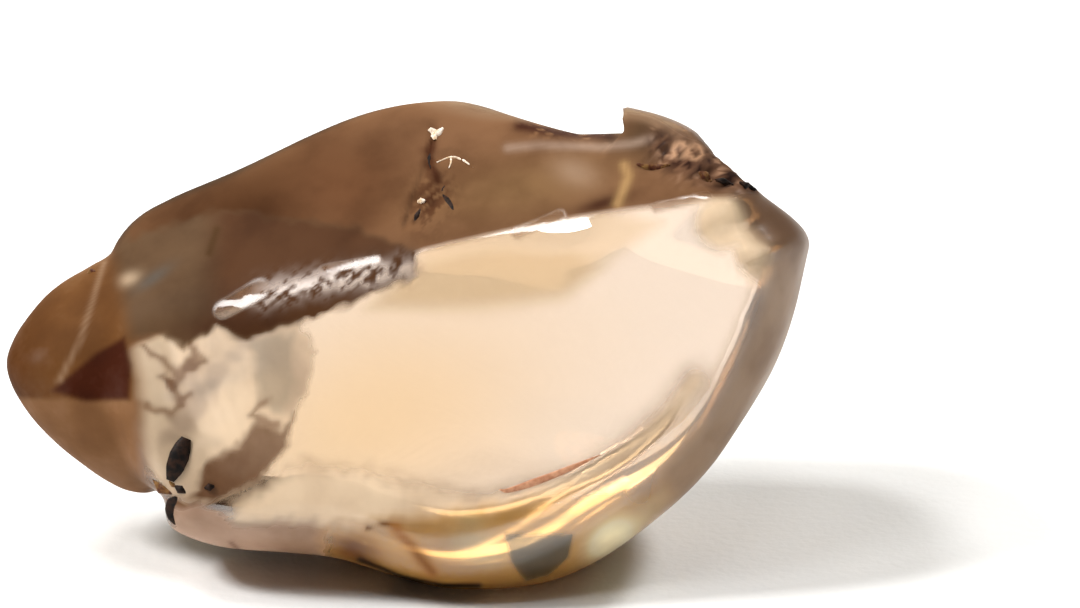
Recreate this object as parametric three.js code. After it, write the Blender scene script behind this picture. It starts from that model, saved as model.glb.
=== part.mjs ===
// A rough brown diamond, resting on its own flat base face.
// Millimetres, +Z up. The origin is at the middle of the bottom of the stone's box.
//
// The stone is one solid. It is described in the frame of its large front face: s runs to the right, t up
// and q out of the face. A field gives each point a signed depth under the skin (negative inside), and
// rays that leave a short spine inside the stone are halved until they meet the skin, where the field is 0.
//
// Angles are in degrees. A direction is given by "around", counted in the front view from +s, and by
// "towards", the tilt from there up to the viewer.

import * as THREE from 'three';
import { mergeVertices } from 'three/addons/utils/BufferGeometryUtils.js';

// Driving dimensions: how far the stone leans back, its thickness over and under the girdle plane, and the
// height of that plane over the base face
const LEAN_BACK = 20;
const FRONT_Q = 1.72;
const BACK_Q = -1.70;
const BASE_BELOW = 2.08;

// The saddle in the top edge: the level of its floor, the place from where the floor rises to the left and
// how it rises, the level q of its crest, and how fast it falls to the front and rises to the back
const SADDLE_T = 2.06;
const SADDLE_S = 1.5;
const SADDLE_RISE = { run: 0.75, height: 0.22, power: 1.15 };
const SADDLE_CREST = 0.1;
const SADDLE_FALL_FRONT = 0.20;
const SADDLE_FALL_BACK = -0.15;

// The overhanging step that ends the saddle, and the span of the fin that is sheared over it
const STEP_S = 2.06;
const STEP_Q = -0.1;
const STEP_LEAN = 0.85;
const STEP_SLANT = -0.15;
const STEP_OVERHANG = 1.1;
const FIN_ROOT = [1.8, 1.95];
const FIN_TAIL = [2.2, 3.0];

// Rims: the widest level of the girdle and how fast it falls off, and the bevels in front and behind. At
// the upper right corner the girdle runs nearer to the front and is flatter.
const GIRDLE_Q = 0.15;
const GIRDLE_SLANT = 0.18;
const GIRDLE_ROUND = 5.2;
const CORNER_GIRDLE = { around: 32.1, reach: 11.5, forward: 1.1, rounder: 9 };
const NOSE_GIRDLE_Q = -0.05;
const NOSE_GIRDLE_ROUND = 2.6;
const FRONT_BEVEL = { inset: 0.46, slope: 38, level: 1.68 };
const BACK_BEVEL = { inset: 0.60, slope: 42, level: 1.66 };

// Where a rim's bevel gets wider (or narrower): the place on the outline as an angle, how far the change
// reaches along it, and how much it adds
const FRONT_WIDER = [
  { around: 12.6, reach: 12.6, adds: 0.14 },
  { around: -57.3, reach: 17.2, adds: 0.14 },
  { around: -100.3, reach: 20, adds: -0.12 },
];
const BACK_NARROWER = { around: -80.2, reach: 48.7, adds: -0.40 };

// Over this span of angles the front bevel shrinks, so that the window reaches the upper right edge
const CORNER_BEVEL = { from: 20.6, to: 31.5, adds: -0.36 };

const MAIN_CENTRE = [0.30, 0.0];
const MAIN_OUTLINE = [
  [0.08, 2.49], [-0.51, 2.38], [-1.26, 2.07], [-2.01, 1.69], [-2.60, 1.45], [-2.92, 1.29],
  [-3.12, 1.05], [-3.24, 0.70], [-3.30, 0.25], [-3.30, -0.25], [-3.20, -0.75], [-2.98, -1.22],
  [-2.74, -1.58], [-2.60, -1.80], [-2.40, -1.93], [-2.00, -2.05], [-1.40, -2.12], [-0.90, -2.19],
  [-0.30, -2.36], [0.30, -2.46], [1.10, -2.40], [1.72, -2.18], [2.31, -1.74], [2.90, -1.15],
  [3.35, -0.42], [3.64, 0.25], [3.77, 0.80], [3.78, 1.02], [3.62, 1.22], [3.24, 1.50],
  [2.98, 1.71], [2.80, 1.91], [2.58, 2.15], [2.40, 2.30], [2.15, 2.40], [1.70, 2.42],
  [1.20, 2.42], [0.60, 2.44],
];
const NOSE_CENTRE = [-3.25, -0.35];
const NOSE_OUTLINE = [
  [-3.16, 0.84], [-3.51, 0.67], [-3.78, 0.48], [-4.00, 0.26], [-4.18, 0.04], [-4.27, -0.20],
  [-4.21, -0.46], [-4.01, -0.76], [-3.76, -1.02], [-3.51, -1.23], [-3.26, -1.41], [-3.01, -1.53],
  [-2.75, -1.55], [-2.45, -1.30], [-2.30, -0.70], [-2.35, 0.10], [-2.70, 0.70],
];

// How wide the edges between faces are rounded
const EDGE = {
  window: 0.30, frontRim: 0.22, bottomLeft: 0.10, ridge: 0.24, girdle: 0.20, backRim: 0.25, leftBack: 0.30,
  topBack: 0.40, noseSide: 0.22, noseFacing: 0.16, noseBack: 0.50, saddle: 0.06,
};

// The crease between the two lobes: how wide it is rounded in front, how much wider behind, and between
// which depths it changes
const CREASE = { front: 0.10, widens: 0.45, from: 0.3, to: 1.2 };

// Faces: a point of the face (s, t, q), its direction, and the radius of its slight dome
const MAIN_FACES = {
  window: { at: [0.9, 0.0, FRONT_Q], around: -80, towards: 87.5, dome: 30 },
  left: { at: [-2.2, -0.5, 1.42], around: 186, towards: 75, dome: 12 },
  top: { at: [0.15, 1.67, 1.02], around: 105, towards: 46, dome: 16 },
  bottomLeft: { at: [-1.75, -2.12, 1.10], around: -106, towards: 36, dome: 20 },
  back: { at: [0.4, 0.0, BACK_Q], around: 90, towards: -88, dome: 30 },
  leftBack: { at: [-2.80, -0.2, -1.25], around: 180, towards: -60, dome: 9 },
  topBack: { at: [0.2, 1.95, -0.95], around: 95, towards: -36, dome: 8 },
};
const NOSE_FACES = {
  upper: { at: [-3.60, 0.10, 0.72], around: 128, towards: 48, dome: 5 },
  lower: { at: [-3.45, -0.95, 0.72], around: 242, towards: 50, dome: 5 },
  facing: { at: [-3.15, -0.40, 0.98], around: 190, towards: 76, dome: 6 },
  back: { at: [-3.3, -0.3, -0.86], around: 180, towards: -60, dome: 6 },
};

// Grooves follow a chain of points; hollows are round dents. Both are in the front view (s, t).
const CRACK = [[0.05, 2.12], [0.02, 1.80], [-0.12, 1.45], [-0.22, 1.12]];
const CRACK_BRANCH = [[0.04, 1.80], [0.25, 1.83], [0.42, 1.72]];
const CRACK_WIDTH = 0.09;
const CRACK_DEPTH = 0.09;
const HOLLOWS = [
  { at: [0.12, 1.56], wide: 0.06, deep: 0.04 },
  { at: [0.15, 1.44], wide: 0.06, deep: 0.04 },
  { at: [0.04, 1.32], wide: 0.07, deep: 0.05 },
  { at: [-0.08, 1.38], wide: 0.05, deep: 0.04 },
  { at: [-0.12, 1.16], wide: 0.07, deep: 0.05 },
  { at: [2.22, 1.72], wide: 0.10, deep: 0.05 },
  { at: [2.46, 1.86], wide: 0.10, deep: 0.05 },
  { at: [2.74, 1.63], wide: 0.10, deep: 0.06 },
  { at: [-2.62, -0.10], wide: 0.34, deep: 0.07 },
  { at: [-2.25, -0.72], wide: 0.38, deep: 0.08 },
  { at: [-1.72, -0.30], wide: 0.30, deep: 0.05 },
  { at: [-2.70, -1.60], wide: 0.16, deep: 0.11 },
];
// A shallow valley runs down the top face between four heights, and slow crossed waves cover the skin
const VALLEY = { s: 1.15, lean: 0.3, wide: 0.55, deep: 0.07, rises: [0.7, 1.3], ends: [1.6, 2.0] };
const WAVES = { deep: 0.022, first: [2.1, 1.3], second: [1.7, -2.3], shift: 0.6 };

// Grooves, hollows and the valley fade out between these levels, towards the back
const FRONT_SKIN = [-0.3, 0.2];

// How finely the skin is found: squares along each edge of the cube of rays, halvings of a ray, its
// greatest length, and the ends of the spine that the rays leave
const CELLS = 27;
const HALVINGS = 34;
const REACH = 7;
const SPINE_LEFT = [-2.7, -0.25, 0];
const SPINE_RIGHT = [2.1, 0.1, 0];

const { clamp, degToRad, lerp, radToDeg } = THREE.MathUtils;
const bell = (x) => Math.exp(-x * x);

function ease(x, from, to) {
  const u = clamp((x - from) / (to - from), 0, 1);
  return u * u * (3 - 2 * u);
}

// The larger of two depths, with the edge between them rounded over a band of the given width
function roundedMax(a, b, band) {
  const h = clamp(0.5 + 0.5 * (a - b) / band, 0, 1);
  return b * (1 - h) + a * h + band * h * (1 - h);
}

const roundedMin = (a, b, band) => -roundedMax(-a, -b, band);

// Depth under a face: the distance to the centre of its dome, less the dome's radius
function faceDepth({ at, around, towards, dome }) {
  const a = degToRad(around);
  const b = degToRad(towards);
  const normal = [Math.cos(b) * Math.cos(a), Math.cos(b) * Math.sin(a), Math.sin(b)];
  const centre = at.map((value, i) => value - dome * normal[i]);
  return (s, t, q) => Math.hypot(s - centre[0], t - centre[1], q - centre[2]) - dome;
}

function faceDepths(faces) {
  return Object.fromEntries(Object.entries(faces).map(([name, face]) => [name, faceDepth(face)]));
}

// The angle round a centre and the depth inside an outline there: the distance from the centre, less the
// outline's own, times the cosine of the outline's slant
function outlineDepth(points, [centreS, centreT]) {
  const perSpan = 40;
  const steps = 720;
  const turn = 2 * Math.PI;
  const curve = new THREE.CatmullRomCurve3(points.map(([s, t]) => new THREE.Vector3(s, t, 0)),
    true, 'catmullrom', 0.5);
  const samples = curve.getPoints(points.length * perSpan).slice(0, -1)
    .map(({ x, y }) => ({
      angle: Math.atan2(y - centreT, x - centreS),
      radius: Math.hypot(x - centreS, y - centreT),
    }))
    .sort((one, other) => one.angle - other.angle);
  const radii = new Float64Array(steps);
  for (let i = 0; i < steps; i += 1) {
    const angle = -Math.PI + turn * i / steps;
    const after = Math.max(0, samples.findIndex((sample) => sample.angle > angle));
    const high = samples[after];
    const low = samples[(after + samples.length - 1) % samples.length];
    const gap = (high.angle - low.angle + turn) % turn;
    radii[i] = lerp(low.radius, high.radius, (angle - low.angle + turn) % turn / gap);
  }
  const slants = radii.map((radius, i) => {
    const rise = radii[(i + 1) % steps] - radii[(i + steps - 1) % steps];
    return 1 / Math.hypot(1, rise * steps / (2 * turn * radius));
  });
  return (s, t) => {
    const angle = Math.atan2(t - centreT, s - centreS);
    const place = (angle + Math.PI) / turn * steps;
    const i = Math.floor(place) % steps;
    const j = (i + 1) % steps;
    const part = place - Math.floor(place);
    const out = Math.hypot(s - centreS, t - centreT) - lerp(radii[i], radii[j], part);
    return { around: radToDeg(angle), depth: out * lerp(slants[i], slants[j], part) };
  };
}

const mainOutline = outlineDepth(MAIN_OUTLINE, MAIN_CENTRE);
const noseOutline = outlineDepth(NOSE_OUTLINE, NOSE_CENTRE);
const mainFace = faceDepths(MAIN_FACES);
const noseFace = faceDepths(NOSE_FACES);

// What a change at one place of the outline adds at another
const addedAt = (around, change) => change.adds * bell((around - change.around) / change.reach);

// A bevel that follows the outline at a given inset and slope, on the front (side 1) or the back (side -1)
function bevelDepth(depth, q, { inset, slope, level }, side) {
  const b = degToRad(slope);
  return (depth + inset) * Math.cos(b) + (side * q - level) * Math.sin(b);
}

function mainLobe(s, t, q) {
  const { around, depth } = mainOutline(s, t);
  const corner = bell((around - CORNER_GIRDLE.around) / CORNER_GIRDLE.reach);
  const level = GIRDLE_Q - GIRDLE_SLANT * t + CORNER_GIRDLE.forward * corner;
  const girdle = depth + (q - level) ** 2 / (GIRDLE_ROUND + CORNER_GIRDLE.rounder * corner);
  const shrinks = CORNER_BEVEL.adds * ease(around, CORNER_BEVEL.from, CORNER_BEVEL.to);
  const frontRim = bevelDepth(depth, q, {
    ...FRONT_BEVEL,
    inset: FRONT_WIDER.reduce((sum, change) => sum + addedAt(around, change), FRONT_BEVEL.inset + shrinks),
  }, 1);
  const backRim = bevelDepth(depth, q, {
    ...BACK_BEVEL,
    inset: BACK_BEVEL.inset + addedAt(around, BACK_NARROWER),
  }, -1);
  let field = roundedMax(mainFace.window(s, t, q), mainFace.left(s, t, q), EDGE.window);
  field = roundedMax(field, frontRim, EDGE.frontRim);
  field = roundedMax(field, mainFace.bottomLeft(s, t, q), EDGE.bottomLeft);
  field = roundedMax(field, mainFace.top(s, t, q), EDGE.ridge);
  field = roundedMax(field, girdle, EDGE.girdle);
  field = roundedMax(field, backRim, EDGE.backRim);
  const behind = roundedMax(mainFace.back(s, t, q), mainFace.leftBack(s, t, q), EDGE.leftBack);
  field = roundedMax(field, behind, EDGE.backRim);
  return roundedMax(field, mainFace.topBack(s, t, q), EDGE.topBack);
}

function noseLobe(s, t, q) {
  const girdle = noseOutline(s, t).depth + (q - NOSE_GIRDLE_Q) ** 2 / NOSE_GIRDLE_ROUND;
  let field = roundedMax(girdle, noseFace.upper(s, t, q), EDGE.noseSide);
  field = roundedMax(field, noseFace.lower(s, t, q), EDGE.noseSide);
  field = roundedMax(field, noseFace.facing(s, t, q), EDGE.noseFacing);
  return roundedMax(field, noseFace.back(s, t, q), EDGE.noseBack);
}

// The piece missing from the top edge: above a floor that rises to the left and falls to the front and
// back, and left of the step
function saddle(s, t, q) {
  const run = clamp((SADDLE_S - s) / SADDLE_RISE.run, 0, 2);
  const ahead = q - SADDLE_CREST;
  const fall = SADDLE_FALL_FRONT * Math.max(0, ahead) ** 2 + SADDLE_FALL_BACK * Math.min(0, ahead);
  const floor = SADDLE_T + SADDLE_RISE.height * run ** SADDLE_RISE.power - fall;
  const wall = STEP_S + STEP_LEAN * (t - SADDLE_T) + STEP_SLANT * (q - STEP_Q);
  return Math.min(t - floor, wall - s);
}

function distanceToChain(s, t, chain) {
  let nearest = Infinity;
  for (let i = 0; i + 1 < chain.length; i += 1) {
    const [fromS, fromT] = chain[i];
    const [stepS, stepT] = [chain[i + 1][0] - fromS, chain[i + 1][1] - fromT];
    const along = ((s - fromS) * stepS + (t - fromT) * stepT) / (stepS ** 2 + stepT ** 2);
    const u = clamp(along, 0, 1);
    nearest = Math.min(nearest, Math.hypot(s - fromS - u * stepS, t - fromT - u * stepT));
  }
  return nearest;
}

// What is worn off: the crack with its branch, the hollows and the valley of the front, and the slow waves
// of the whole skin
function relief(s, t, q) {
  const front = ease(q, ...FRONT_SKIN);
  const crack = Math.min(distanceToChain(s, t, CRACK), distanceToChain(s, t, CRACK_BRANCH));
  let cut = CRACK_DEPTH * bell(crack / CRACK_WIDTH);
  for (const { at, wide, deep } of HOLLOWS) {
    cut += deep * bell(Math.hypot(s - at[0], t - at[1]) / wide);
  }
  const valley = VALLEY.deep * bell((s - VALLEY.s - VALLEY.lean * t) / VALLEY.wide);
  const overTheTop = ease(t, ...VALLEY.rises) * (1 - ease(t, ...VALLEY.ends));
  const across = Math.sin(WAVES.first[0] * s + WAVES.first[1] * t);
  const waves = WAVES.deep * across * Math.sin(WAVES.second[0] * t + WAVES.second[1] * q + WAVES.shift);
  return front * (cut + valley * overTheTop) + waves;
}

function stone(s, t, q) {
  const crease = CREASE.front + CREASE.widens * ease(-q, CREASE.from, CREASE.to);
  const body = roundedMin(mainLobe(s, t, q), noseLobe(s, t, q), crease);
  return roundedMax(body, saddle(s, t, q), EDGE.saddle) + relief(s, t, q);
}

const lean = degToRad(LEAN_BACK);
const aboveBase = (t, q) => t * Math.cos(lean) + q * Math.sin(lean) + BASE_BELOW;

// Halves the ray from the spine in one direction until it meets the skin or the base face. The fin is then
// sheared to the left, over the saddle.
function skinPoint(direction) {
  const share = (direction.x + 1) / 2;
  const start = SPINE_LEFT.map((value, i) => lerp(value, SPINE_RIGHT[i], share));
  let near = 0;
  let far = REACH;
  for (let i = 0; i < HALVINGS; i += 1) {
    const middle = (near + far) / 2;
    const [s, t, q] = start.map((value, axis) => value + middle * direction.getComponent(axis));
    if (Math.max(stone(s, t, q), -aboveBase(t, q)) < 0) {
      near = middle;
    } else {
      far = middle;
    }
  }
  const [s, t, q] = start.map((value, axis) => value + near * direction.getComponent(axis));
  const onFin = ease(s, ...FIN_ROOT) * (1 - ease(s, ...FIN_TAIL));
  return [s - STEP_OVERHANG * Math.max(0, t - SADDLE_T) * onFin, t, q];
}

// A cube's grid of points is blown up into even directions, and each goes out to the skin. The stone is
// then stood on its base face, with the middle of its box over the origin.
function stoneGeometry() {
  const onTheBase = 1e-5;
  const cube = new THREE.BoxGeometry(2, 2, 2, CELLS, CELLS, CELLS);
  cube.deleteAttribute('normal');
  cube.deleteAttribute('uv');
  const geometry = mergeVertices(cube, 1e-5);
  const position = geometry.getAttribute('position');
  const direction = new THREE.Vector3();
  for (let i = 0; i < position.count; i += 1) {
    direction.fromBufferAttribute(position, i);
    direction.set(...direction.toArray().map((value) => Math.tan(value * Math.PI / 4))).normalize();
    const [s, t, q] = skinPoint(direction);
    const z = aboveBase(t, q);
    position.setXYZ(i, s, t * Math.sin(lean) - q * Math.cos(lean), z < onTheBase ? 0 : z);
  }
  geometry.computeBoundingBox();
  const { min, max } = geometry.boundingBox;
  geometry.translate(-(min.x + max.x) / 2, -(min.y + max.y) / 2, 0);
  geometry.computeVertexNormals();
  return geometry;
}

const brownCrystal = new THREE.MeshStandardMaterial({ color: 0xc9a47c, roughness: 0.12, metalness: 0 });

const diamond = new THREE.Mesh(stoneGeometry(), brownCrystal);
diamond.name = 'rough_diamond';

const group = new THREE.Group();
group.add(diamond);

export default group;
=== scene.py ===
# %% [markdown]
# A rough brown diamond on a sheet of pale paper. The stone is one crystal that dissolved a little in its
# rock: flat faces turned into gently domed ones and the edges between them went round. It was cut and
# polished by nobody, so everything that shows is a natural face, a crack or something shut in the crystal.
#
# The measured model gives the size, the flat face it rests on and the place of every main form. This file
# grows the fine skin over it, and adds what is inside the stone, the light and the camera.

# %% Load the measured model
import math
import bpy
import numpy as np
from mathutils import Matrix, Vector


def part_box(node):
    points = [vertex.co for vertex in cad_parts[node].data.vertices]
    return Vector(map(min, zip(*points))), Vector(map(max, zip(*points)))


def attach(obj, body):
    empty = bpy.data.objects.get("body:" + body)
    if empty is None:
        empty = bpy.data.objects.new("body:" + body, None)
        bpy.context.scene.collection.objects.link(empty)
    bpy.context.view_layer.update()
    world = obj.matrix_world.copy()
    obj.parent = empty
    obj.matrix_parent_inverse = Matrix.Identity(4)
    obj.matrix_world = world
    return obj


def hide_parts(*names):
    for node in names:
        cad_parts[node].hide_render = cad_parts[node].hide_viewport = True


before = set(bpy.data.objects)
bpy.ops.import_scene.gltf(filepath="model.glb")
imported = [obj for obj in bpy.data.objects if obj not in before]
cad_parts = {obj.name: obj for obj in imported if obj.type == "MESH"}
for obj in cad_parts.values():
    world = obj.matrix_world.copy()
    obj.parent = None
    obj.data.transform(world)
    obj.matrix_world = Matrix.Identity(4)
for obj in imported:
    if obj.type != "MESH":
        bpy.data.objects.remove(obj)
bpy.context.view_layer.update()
LOW, HIGH = (np.array(corner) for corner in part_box("rough_diamond"))
MM = 0.001
print("the stone's box in mm:", np.round((HIGH - LOW) / MM, 2))

# %% [markdown]
# The stone leans back as it rests. It is easiest to describe in the frame of its large front face, which
# looks straight at the camera: s runs to the right, t up and q towards the viewer, all in millimetres.
# One turn about X stands it on the floor.

# %% The stone's own frame
LEAN_BACK = math.radians(20)
BASE_BELOW = 2.08


def height(t, q):
    """Height over the middle of the stone: t and q seen along the vertical."""
    return t * np.cos(LEAN_BACK) + q * np.sin(LEAN_BACK)


def stand(points):
    """Turns (s, t, q) into level (x, y, z) over the base face, still in millimetres."""
    s, t, q = np.moveaxis(np.asarray(points, float), -1, 0)
    depth = t * np.sin(LEAN_BACK) - q * np.cos(LEAN_BACK)
    return np.stack([s, depth, height(t, q) + BASE_BELOW], -1)


# %% [markdown]
# The form is a field: a number for each point in space, negative inside the stone and zero on its skin.
# A face is a very large ball, so it is slightly domed. Where two faces meet, the larger of the two depths
# counts, and a rounded maximum makes the worn edge. The measured model has the same forms and sizes,
# without the finest relief.

# %% Small functions that shape the field
def bell(x):
    """1 at zero and fading to 0 on both sides, as exp(-x squared)."""
    return np.exp(-x * x)


def ease(x, start, end):
    """Rises smoothly from 0 at start to 1 at end, as 3u^2 - 2u^3."""
    u = np.clip((x - start) / (end - start), 0, 1)
    return u * u * (3 - 2 * u)


def rounded_max(a, b, band):
    """The larger of a and b, with the corner between them rounded over a band of their difference."""
    h = np.clip(0.5 + 0.5 * (a - b) / band, 0, 1)
    return b * (1 - h) + a * h + band * h * (1 - h)


def rounded_min(a, b, band):
    """The smaller of a and b, rounded in the same way."""
    return -rounded_max(-a, -b, band)


def face(touch, around, towards, dome):
    """Depth under a domed face: distance to a ball's centre, less its radius."""
    a, b = math.radians(around), math.radians(towards)
    normal = np.array([math.cos(b) * math.cos(a), math.cos(b) * math.sin(a), math.sin(b)])
    centre = np.array(touch) - dome * normal
    return lambda s, t, q: np.sqrt((s - centre[0])**2 + (t - centre[1])**2 + (q - centre[2])**2) - dome


# %% [markdown]
# Seen from the front, the stone is a large body with a small lobe grown on its left end. Each has an
# outline, a closed smooth curve through a few points, which is turned into a radius for every direction.

# %% The two outlines
MAIN_CENTRE = (0.30, 0.0)
MAIN_OUTLINE = [
    (0.08, 2.49), (-0.51, 2.38), (-1.26, 2.07), (-2.01, 1.69), (-2.60, 1.45), (-2.92, 1.29),
    (-3.12, 1.05), (-3.24, 0.70), (-3.30, 0.25), (-3.30, -0.25), (-3.20, -0.75), (-2.98, -1.22),
    (-2.74, -1.58), (-2.60, -1.80), (-2.40, -1.93), (-2.00, -2.05), (-1.40, -2.12), (-0.90, -2.19),
    (-0.30, -2.36), (0.30, -2.46), (1.10, -2.40), (1.72, -2.18), (2.31, -1.74), (2.90, -1.15),
    (3.35, -0.42), (3.64, 0.25), (3.77, 0.80), (3.78, 1.02), (3.62, 1.22), (3.24, 1.50),
    (2.98, 1.71), (2.80, 1.91), (2.58, 2.15), (2.40, 2.30), (2.15, 2.40), (1.70, 2.42),
    (1.20, 2.42), (0.60, 2.44),
]
NOSE_CENTRE = (-3.25, -0.35)
NOSE_OUTLINE = [
    (-3.16, 0.84), (-3.51, 0.67), (-3.78, 0.48), (-4.00, 0.26), (-4.18, 0.04), (-4.27, -0.20),
    (-4.21, -0.46), (-4.01, -0.76), (-3.76, -1.02), (-3.51, -1.23), (-3.26, -1.41), (-3.01, -1.53),
    (-2.75, -1.55), (-2.45, -1.30), (-2.30, -0.70), (-2.35, 0.10), (-2.70, 0.70),
]
OUTLINE_STEPS = 40
OUTLINE_DIRECTIONS = 720
TURN = 2 * np.pi


def smooth_path(points, closed, per_step):
    """A curve through the points: between two of them a cubic whose slope at each is half the step
    from the point before to the point after."""
    p = np.array(points, float)
    if not closed:
        p = np.concatenate([2 * p[:1] - p[1:2], p, 2 * p[-1:] - p[-2:-1]])
    steps = len(p) if closed else len(p) - 3
    u = np.arange(steps * per_step + (0 if closed else 1)) / per_step
    i = np.minimum(u.astype(int), steps - 1)
    f = (u - i)[:, None]
    shift = 0 if closed else 1
    before, here, there, after = (p[(i + shift + k) % len(p)] for k in (-1, 0, 1, 2))
    v0, v1 = (there - before) / 2, (after - here) / 2
    cubic = 2 * here - 2 * there + v0 + v1
    square = 3 * there - 3 * here - 2 * v0 - v1
    return ((cubic * f + square) * f + v0) * f + here


def outline_depth(points, centre):
    """A function that gives direction and depth inside an outline: distance from the centre less the
    radius there, times the cosine of the outline's slant."""
    curve = smooth_path(points, True, OUTLINE_STEPS) - np.array(centre)
    angles, reach = np.arctan2(curve[:, 1], curve[:, 0]), np.hypot(curve[:, 0], curve[:, 1])
    order = np.argsort(angles)
    even = -np.pi + TURN * np.arange(OUTLINE_DIRECTIONS) / OUTLINE_DIRECTIONS
    radius = np.interp(even, angles[order], reach[order], period=TURN)
    rise = (np.roll(radius, -1) - np.roll(radius, 1)) * OUTLINE_DIRECTIONS / (2 * TURN)
    slant = 1 / np.hypot(1, rise / radius)

    def depth(s, t):
        angle = np.arctan2(t - centre[1], s - centre[0])
        out = np.hypot(s - centre[0], t - centre[1]) - np.interp(angle, even, radius, period=TURN)
        return angle, out * np.interp(angle, even, slant, period=TURN)
    return depth


main_depth = outline_depth(MAIN_OUTLINE, MAIN_CENTRE)
nose_depth = outline_depth(NOSE_OUTLINE, NOSE_CENTRE)


# %% [markdown]
# The body between the outlines is a thick slab. Its front face is the pale window and its back face runs
# parallel to it, so light goes straight through. The top face slopes, and the rims are bevelled: there
# light is thrown back inside again and again, and comes out brown. This is why the forms come first.

# %% Bevels and girdle
GIRDLE_Q = 0.15
GIRDLE_SLANT = 0.18
GIRDLE_ROUND = 5.2
CORNER_AT, CORNER_REACH = 0.56, 0.20
CORNER_FORWARD = 1.1
CORNER_ROUNDER = 9
NOSE_GIRDLE_Q = -0.05
NOSE_GIRDLE_ROUND = 2.6

# A bevel's inset from the outline, slope in degrees and level in q. Along the outline it gets wider or
# narrower: the place as an angle, how far the change reaches, and what it adds to the inset.
FRONT_INSET, FRONT_SLOPE, FRONT_LEVEL = 0.46, 38, 1.68
FRONT_WIDER = [(0.22, 0.22, 0.14), (-1.0, 0.3, 0.14), (-1.75, 0.35, -0.12)]
CORNER_SPAN = (0.36, 0.55)
CORNER_INSET = -0.36
BACK_INSET, BACK_SLOPE, BACK_LEVEL = 0.60, 42, 1.66
BACK_NARROWER = [(-1.4, 0.85, -0.40)]

# How wide the edges between faces are rounded
EDGE = {"window": 0.30, "front_rim": 0.22, "bottom_left": 0.10, "ridge": 0.24, "girdle": 0.20,
        "back_rim": 0.25, "left_back": 0.30, "top_back": 0.40, "nose_side": 0.22, "nose_facing": 0.16,
        "nose_back": 0.50, "saddle": 0.06, "base": 0.05}


def widened(inset, angle, changes):
    """An inset plus a bell for each change along the outline."""
    for at, reach, adds in changes:
        inset = inset + adds * bell((angle - at) / reach)
    return inset


def bevel(depth, q, inset, slope, level, side):
    """Depth under a bevel that follows the outline at an inset, on the front (1) or the back (-1)."""
    b = np.radians(slope)
    return (depth + inset) * np.cos(b) + (side * q - level) * np.sin(b)


# %% The large body
WINDOW = face((0.9, 0.0, 1.72), -80, 87.5, 30)
LEFT = face((-2.2, -0.5, 1.42), 186, 75, 12)
TOP = face((0.15, 1.67, 1.02), 105, 46, 16)
BOTTOM_LEFT = face((-1.75, -2.12, 1.10), -106, 36, 20)
BACK = face((0.4, 0.0, -1.70), 90, -88, 30)
LEFT_BACK = face((-2.80, -0.2, -1.25), 180, -60, 9)
TOP_BACK = face((0.2, 1.95, -0.95), 95, -36, 8)


def main_lobe(s, t, q):
    """The large body: faces, bevels and girdle joined by rounded maxima."""
    angle, depth = main_depth(s, t)
    corner = bell((angle - CORNER_AT) / CORNER_REACH)
    off_girdle = q - GIRDLE_Q + GIRDLE_SLANT * t - CORNER_FORWARD * corner
    girdle = depth + off_girdle**2 / (GIRDLE_ROUND + CORNER_ROUNDER * corner)
    inset = widened(FRONT_INSET, angle, FRONT_WIDER) + CORNER_INSET * ease(angle, *CORNER_SPAN)
    front_rim = bevel(depth, q, inset, FRONT_SLOPE, FRONT_LEVEL, 1)
    back_rim = bevel(depth, q, widened(BACK_INSET, angle, BACK_NARROWER), BACK_SLOPE, BACK_LEVEL, -1)
    field = rounded_max(WINDOW(s, t, q), LEFT(s, t, q), EDGE["window"])
    field = rounded_max(field, front_rim, EDGE["front_rim"])
    field = rounded_max(field, BOTTOM_LEFT(s, t, q), EDGE["bottom_left"])
    field = rounded_max(field, TOP(s, t, q), EDGE["ridge"])
    field = rounded_max(field, girdle, EDGE["girdle"])
    field = rounded_max(field, back_rim, EDGE["back_rim"])
    behind = rounded_max(BACK(s, t, q), LEFT_BACK(s, t, q), EDGE["left_back"])
    field = rounded_max(field, behind, EDGE["back_rim"])
    return rounded_max(field, TOP_BACK(s, t, q), EDGE["top_back"])


# %% The small lobe
NOSE_UPPER = face((-3.60, 0.10, 0.72), 128, 48, 5)
NOSE_LOWER = face((-3.45, -0.95, 0.72), 242, 50, 5)
NOSE_FACING = face((-3.15, -0.40, 0.98), 190, 76, 6)
NOSE_BACK = face((-3.3, -0.3, -0.86), 180, -60, 6)


def nose_lobe(s, t, q):
    """The small lobe at the left end, made in the same way."""
    girdle = nose_depth(s, t)[1] + (q - NOSE_GIRDLE_Q)**2 / NOSE_GIRDLE_ROUND
    field = rounded_max(girdle, NOSE_UPPER(s, t, q), EDGE["nose_side"])
    field = rounded_max(field, NOSE_LOWER(s, t, q), EDGE["nose_side"])
    field = rounded_max(field, NOSE_FACING(s, t, q), EDGE["nose_facing"])
    return rounded_max(field, NOSE_BACK(s, t, q), EDGE["nose_back"])


# %% [markdown]
# A piece broke out of the top edge long ago. It left a saddle that ends at a step, the fin. Cutting it
# out of the field is a maximum with the depth inside the missing piece.

# %% The saddle
SADDLE_T = 2.06
SADDLE_S = 1.5
RISE_RUN, RISE_HEIGHT, RISE_POWER, RISE_END = 0.75, 0.22, 1.15, 2
SADDLE_CREST = 0.1
FALL_FRONT, FALL_BACK = 0.20, -0.15
STEP_S = 2.06
STEP_Q = -0.1
STEP_LEAN = 0.85
STEP_SLANT = -0.15
STEP_OVERHANG = 1.1


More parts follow.
